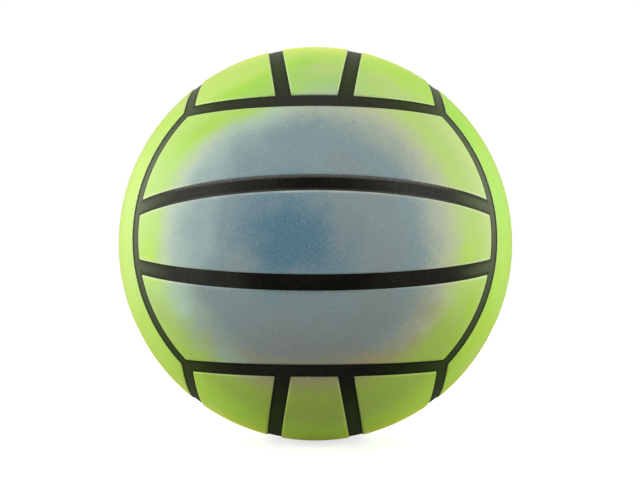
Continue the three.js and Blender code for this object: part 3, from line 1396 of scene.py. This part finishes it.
    def round_corners(
        self, grid: np.ndarray, low: EdgePlane, high: EdgePlane, end: EdgePlane
    ) -> tuple[np.ndarray, np.ndarray]:
        """Rounds the corners of a panel's grid.

        With x and y from 0 to 1 towards the panel's end and side, a corner's points go by the map of
        a square to a disc: x' = x sqrt(1 - y^2 / 2) and y' = y sqrt(1 - x^2 / 2).

        Args:
            grid: The panel's points.
            low: Its lower edge.
            high: Its higher edge.
            end: The plane of its ends, across which outward runs.

        Returns:
            The points and their distance from the panel's edge.
        """
        outward, across, along = np.moveaxis(grid, -1, 0)
        to_low, to_high = low.above(across, outward), -high.above(across, outward)
        to_side, to_end = np.minimum(to_low, to_high), end.above(outward, 0)
        x = np.clip(1 - to_end / self.corner_radius, 0, 1)
        y = np.clip(1 - to_side / self.corner_radius, 0, 1)
        round_x, round_y = x * np.sqrt(1 - y**2 / 2), y * np.sqrt(1 - x**2 / 2)
        corner = (x > 0) & (y > 0)
        from_arc = self.corner_radius * (1 - np.hypot(round_x, round_y))
        distance = np.where(corner, from_arc, np.minimum(to_end, to_side))
        outward = np.where(corner, end.shifted(self.corner_radius * (1 - round_x)), outward)
        inset = self.corner_radius * (1 - round_y)
        nearer = np.where(to_low < to_high, low.across(outward, inset), high.across(outward, -inset))
        across = np.where(corner, nearer, across)
        along = np.sign(along) * np.sqrt(np.maximum(self.radius**2 - outward**2 - across**2, 0))
        return np.stack([outward, across, along], axis=-1), distance

    def panel_surface(self, side: Side, place: int, hole_radius: float = 0) -> Surface:
        """One panel as a closed sheet with rounded shoulders.

        Args:
            side: The side that it belongs to.
            place: -1, 0 or 1 across the side.
            hole_radius: Radius of the valve's hole at the panel's middle, or 0.

        Returns:
            The panel in the ball's frame, with each point's distance from its painted edge in
            millimetres. The valve's hole has no painted edge.
        """
        grid, distance = self.strip_grid(place)
        number = np.arange(distance.size).reshape(distance.shape)
        faces = np.stack(
            [number[:-1, :-1], number[:-1, 1:], number[1:, 1:], number[1:, :-1]], axis=-1
        )
        loops = [block_loop(number)]
        points, distance = grid.reshape(-1, 3), distance.ravel()
        if hole_radius:
            points, distance, faces, ring = self.pierce(grid, distance, faces, number, hole_radius)
            loops.append(ring)
        faces = faces.reshape(-1, 4)
        direction = points / self.radius
        outer = direction * (self.radius - self.drop(distance))[:, None]
        inner = direction * (self.floor_radius + self.bond_gap)
        surface = thicken(outer @ side.basis, inner @ side.basis, faces, loops)
        painted = np.where(np.arange(len(distance)) < number.size, distance, self.apron)
        surface.fields["edge"] = np.tile(painted / MM, 2)
        return surface

    def pierce(
        self,
        grid: np.ndarray,
        distance: np.ndarray,
        faces: np.ndarray,
        number: np.ndarray,
        hole_radius: float,
    ) -> tuple[np.ndarray, np.ndarray, np.ndarray, np.ndarray]:
        """Opens a round hole at the middle of a panel's grid.

        A square block of faces makes way for rings of points that keep the angles of the block's
        edge. Their radii close from the block's edge to the hole's, with the rows of a rounded edge.

        Args:
            grid: The panel's points.
            distance: Their distances from the panel's edge.
            faces: Its faces, by row and column.
            number: Its point numbers, by row and column.
            hole_radius: Radius of the hole.

        Returns:
            All points, their distances, all faces, and the point numbers along the hole's edge.
        """
        rows = self.edge_rows()
        points = grid.reshape(-1, 3)
        start = hole_radius + rows[-1]
        block = start + self.hole_margin
        middle_row, middle_column = grid[grid.shape[0] // 2, :, 1], grid[:, grid.shape[1] // 2, 2]
        left, right = np.searchsorted(middle_row, [-block, block])
        low, high = np.searchsorted(middle_column, [-block, block])
        loop = block_loop(number[low : high + 1, left : right + 1])
        open_faces = np.ones(faces.shape[:2], bool)
        open_faces[low:high, left:right] = False
        across, along = points[loop, 1], points[loop, 2]
        angle, reach = np.arctan2(along, across), np.hypot(across, along)
        closing = np.linspace(1, 0, self.closing_rows + 2)[1:-1, None]
        radii = np.concatenate([
            start + closing * (reach - start), np.tile(hole_radius + rows[::-1, None], len(loop))
        ])
        outward = np.sqrt(self.radius**2 - radii**2)
        rings = np.stack([outward, radii * np.cos(angle), radii * np.sin(angle)], axis=-1)
        ring_number = np.concatenate([
            loop[None], len(points) + np.arange(radii.size).reshape(radii.shape)
        ])
        after = np.roll(ring_number, -1, axis=1)
        ring_faces = np.stack([ring_number[:-1], after[:-1], after[1:], ring_number[1:]], axis=-1)
        return (
            np.concatenate([points, rings.reshape(-1, 3)]),
            np.concatenate([distance, (radii - hole_radius).ravel()]),
            np.concatenate([faces[open_faces], ring_faces.reshape(-1, 4)]),
            ring_number[-1, ::-1],
        )

    def build(self, hole_radius: float, look: bpy.types.Material) -> None:
        """Makes every panel.

        Args:
            hole_radius: Radius of the valve's hole in the back's middle panel.
            look: Material of the panels.
        """
        for side in Side:
            for place in (-1, 0, 1):
                name = side.panel_name(place)
                hole = hole_radius if side is Side.BACK and place == 0 else 0
                panel = self.panel_surface(side, place, hole).build(f"cover_{name}")
                dress(panel, name, Body.BALL, look)


def heading(azimuth: float, elevation: float) -> Vector:
    """The direction at an azimuth from the front and an elevation, both in degrees."""
    turn, lift = math.radians(azimuth), math.radians(elevation)
    return Vector((math.sin(turn) * math.cos(lift), -math.cos(turn) * math.cos(lift), math.sin(lift)))


def stand(made: bpy.types.Object, place: Vector, facing: Vector) -> None:
    """Puts a lamp or a camera at a place, facing a direction, with its top up.

    Args:
        made: The object.
        place: Where it stands.
        facing: Where it looks.
    """
    turn = facing.to_track_quat("-Z", "Y").to_matrix().to_4x4()
    made.matrix_world = Matrix.Translation(place) @ turn
    bpy.context.scene.collection.objects.link(made)


@dataclass(frozen=True)
class Softbox:
    """A square soft lamp that faces the ball.

    Attributes:
        name: Its name.
        azimuth: Angle round the ball from the front, in degrees, positive to the right.
        elevation: Angle above the ball's centre, in degrees.
        power: Its power in watts.
        distance: Distance from the ball's centre.
        size: Side of its face.
    """

    name: str
    azimuth: float
    elevation: float
    power: float
    distance: float = 1.4
    size: float = 0.6

    def build(self) -> None:
        """Hangs the lamp."""
        lamp = bpy.data.lights.new(self.name, "AREA")
        lamp.size = self.size
        lamp.energy = self.power
        place = heading(self.azimuth, self.elevation) * self.distance
        stand(bpy.data.objects.new(self.name, lamp), place, -place)


@dataclass(frozen=True)
class Studio:
    """A pale floor, soft lamps, a white world and the photograph's camera.

    Attributes:
        floor_level: Height of the floor.
        floor_size: Side of the floor.
        floor_white: Colour of the floor that the camera sees.
        floor_dim: Colour of the floor that lights the ball.
        floor_glow: Strength of the glow that makes the floor look white.
        floor_clear: Distances from the ball's centre where mirrored rays begin to see that glow, and see
            all of it.
        azimuth: Camera's angle round the ball, in degrees.
        elevation: Camera's angle above the horizon, in degrees.
        distance: Camera's distance from the ball's centre.
        lens: Camera's focal length in millimetres.
        ball_pixel: Where the ball's centre lies in the picture.
        ambient: Strength of the world's light.
        lamps: The lamps.
    """

    floor_level: float = -110 * MM
    floor_size: float = 8.0
    floor_white: Colour = linear(230, 230, 230)
    floor_dim: Colour = linear(182, 182, 182)
    floor_glow: float = 0.66
    floor_clear: tuple[float, float] = (0.25, 0.7)
    azimuth: float = 0.41
    elevation: float = -2.68
    distance: float = 480.3 * MM
    lens: float = 47.05
    ball_pixel: tuple[float, float] = (315.7, 243.5)
    ambient: float = 0.475
    lamps: tuple[Softbox, ...] = (
        Softbox("left_softbox", -62, 14, 11.8),
        Softbox("right_softbox", 62, 14, 9.8),
        Softbox("left_rear_softbox", -122, 14, 2.2),
        Softbox("right_rear_softbox", 122, 14, 1.4),
        Softbox("back_softbox", 180, 12, 11.5),
    )

    def build(self) -> None:
        """Makes the whole stage."""
        self.build_camera()
        self.build_floor()
        self.build_world()
        for lamp in self.lamps:
            lamp.build()
            log.info("%s: %.1f W", lamp.name, lamp.power)

    def build_camera(self) -> None:
        """Places the camera so that the ball's centre falls on its pixel of the photograph."""
        camera = bpy.data.cameras.new("camera")
        camera.lens = self.lens
        camera.sensor_width = SENSOR_WIDTH
        back = heading(self.azimuth, self.elevation)
        pixel = SENSOR_WIDTH / self.lens / IMAGE_WIDTH
        right = (IMAGE_WIDTH / 2 - self.ball_pixel[0]) * pixel
        up = (self.ball_pixel[1] - IMAGE_HEIGHT / 2) * pixel
        aim = (-back).to_track_quat("-Z", "Y") @ Vector((right, up, -1))
        made = bpy.data.objects.new("camera", camera)
        stand(made, back * self.distance, aim)
        bpy.context.scene.camera = made

    def build_floor(self) -> None:
        """Lays a floor that looks white and keeps the ball's shadow, and is clear from below.

        The camera sees a white glow on a lit surface. Mirrored rays see that only away from the ball,
        because close to it they meet the shadow under it.
        """
        half = self.floor_size / 2
        corners = np.array([[-half, -half], [half, -half], [half, half], [-half, half]])
        points = np.column_stack([corners, np.full(4, self.floor_level)])
        floor = Surface(points, np.array([[0, 1, 2, 3]])).build("floor")
        graph = Graph(bpy.data.materials.new("white_floor"))
        reach = graph.node("ShaderNodeVectorMath", {"operation": "LENGTH"}, {0: graph.place}, "Value")
        camera, glossy, clear = self.rays(graph)
        seen = camera + (glossy + clear) * reach.ease(*self.floor_clear)
        lit = graph.node("ShaderNodeBsdfDiffuse", {}, {"Color": self.floor_white})
        dim = graph.node("ShaderNodeBsdfDiffuse", {}, {"Color": self.floor_dim})
        glow = graph.node("ShaderNodeEmission", {}, {"Strength": self.floor_glow})
        white = graph.node("ShaderNodeAddShader", {}, {0: lit, 1: glow})
        upper = graph.node("ShaderNodeMixShader", {}, {0: seen, 1: dim, 2: white})
        below = graph.node("ShaderNodeNewGeometry", output="Backfacing")
        through = graph.node("ShaderNodeBsdfTransparent")
        shader = graph.node("ShaderNodeMixShader", {}, {0: below, 1: upper, 2: through})
        graph.node("ShaderNodeOutputMaterial", {}, {"Surface": shader})
        floor.data.materials.append(graph.owner)

    def rays(self, graph: Graph) -> list[Term]:
        """1 for camera rays, 1 for mirrored rays and 1 for refracted rays, in that order."""
        kinds = ("Camera", "Glossy", "Transmission")
        return [graph.node("ShaderNodeLightPath", output=f"Is {kind} Ray") for kind in kinds]

    def build_world(self) -> None:
        """A world that looks white and lights softly."""
        world = bpy.data.worlds.new("studio")
        bpy.context.scene.world = world
        graph = Graph(world)
        camera, glossy, clear = self.rays(graph)
        strength = self.ambient + (camera + glossy + clear) * (1 - self.ambient)
        inputs = {"Color": (1, 1, 1, 1), "Strength": strength}
        background = graph.node("ShaderNodeBackground", {}, inputs)
        graph.node("ShaderNodeOutputWorld", {}, {"Surface": background})


def main() -> None:
    """Builds the ball from the inside out, then its stage."""
    logging.basicConfig(level=logging.INFO, format="%(name)s: %(message)s")
    bpy.context.scene.view_settings.view_transform = "Standard"
    valve, cover = Valve(), Cover()
    channel = ChannelFinish(cover.radius, cover.seam, cover.border)
    butyl = RubberFinish(
        "butyl_rubber", colour=linear(40, 38, 36), dust=linear(70, 66, 62), roughness=0.6
    )
    valve_rubber = RubberFinish(
        "valve_rubber", colour=linear(31, 31, 28), dust=linear(50, 50, 45), roughness=0.55
    )
    looks = {
        Slot.BLADDER: butyl.material(),
        Slot.YARN: YarnFinish().material(),
        Slot.CHANNEL: channel.material(),
    }
    Casing(cover.floor_radius).build(valve.hole_radius, looks)
    cover.build(valve.hole_radius, CoverFinish(channel).material())
    valve.build(valve_rubber.material())
    Studio().build()


if __name__ == "__main__":
    main()
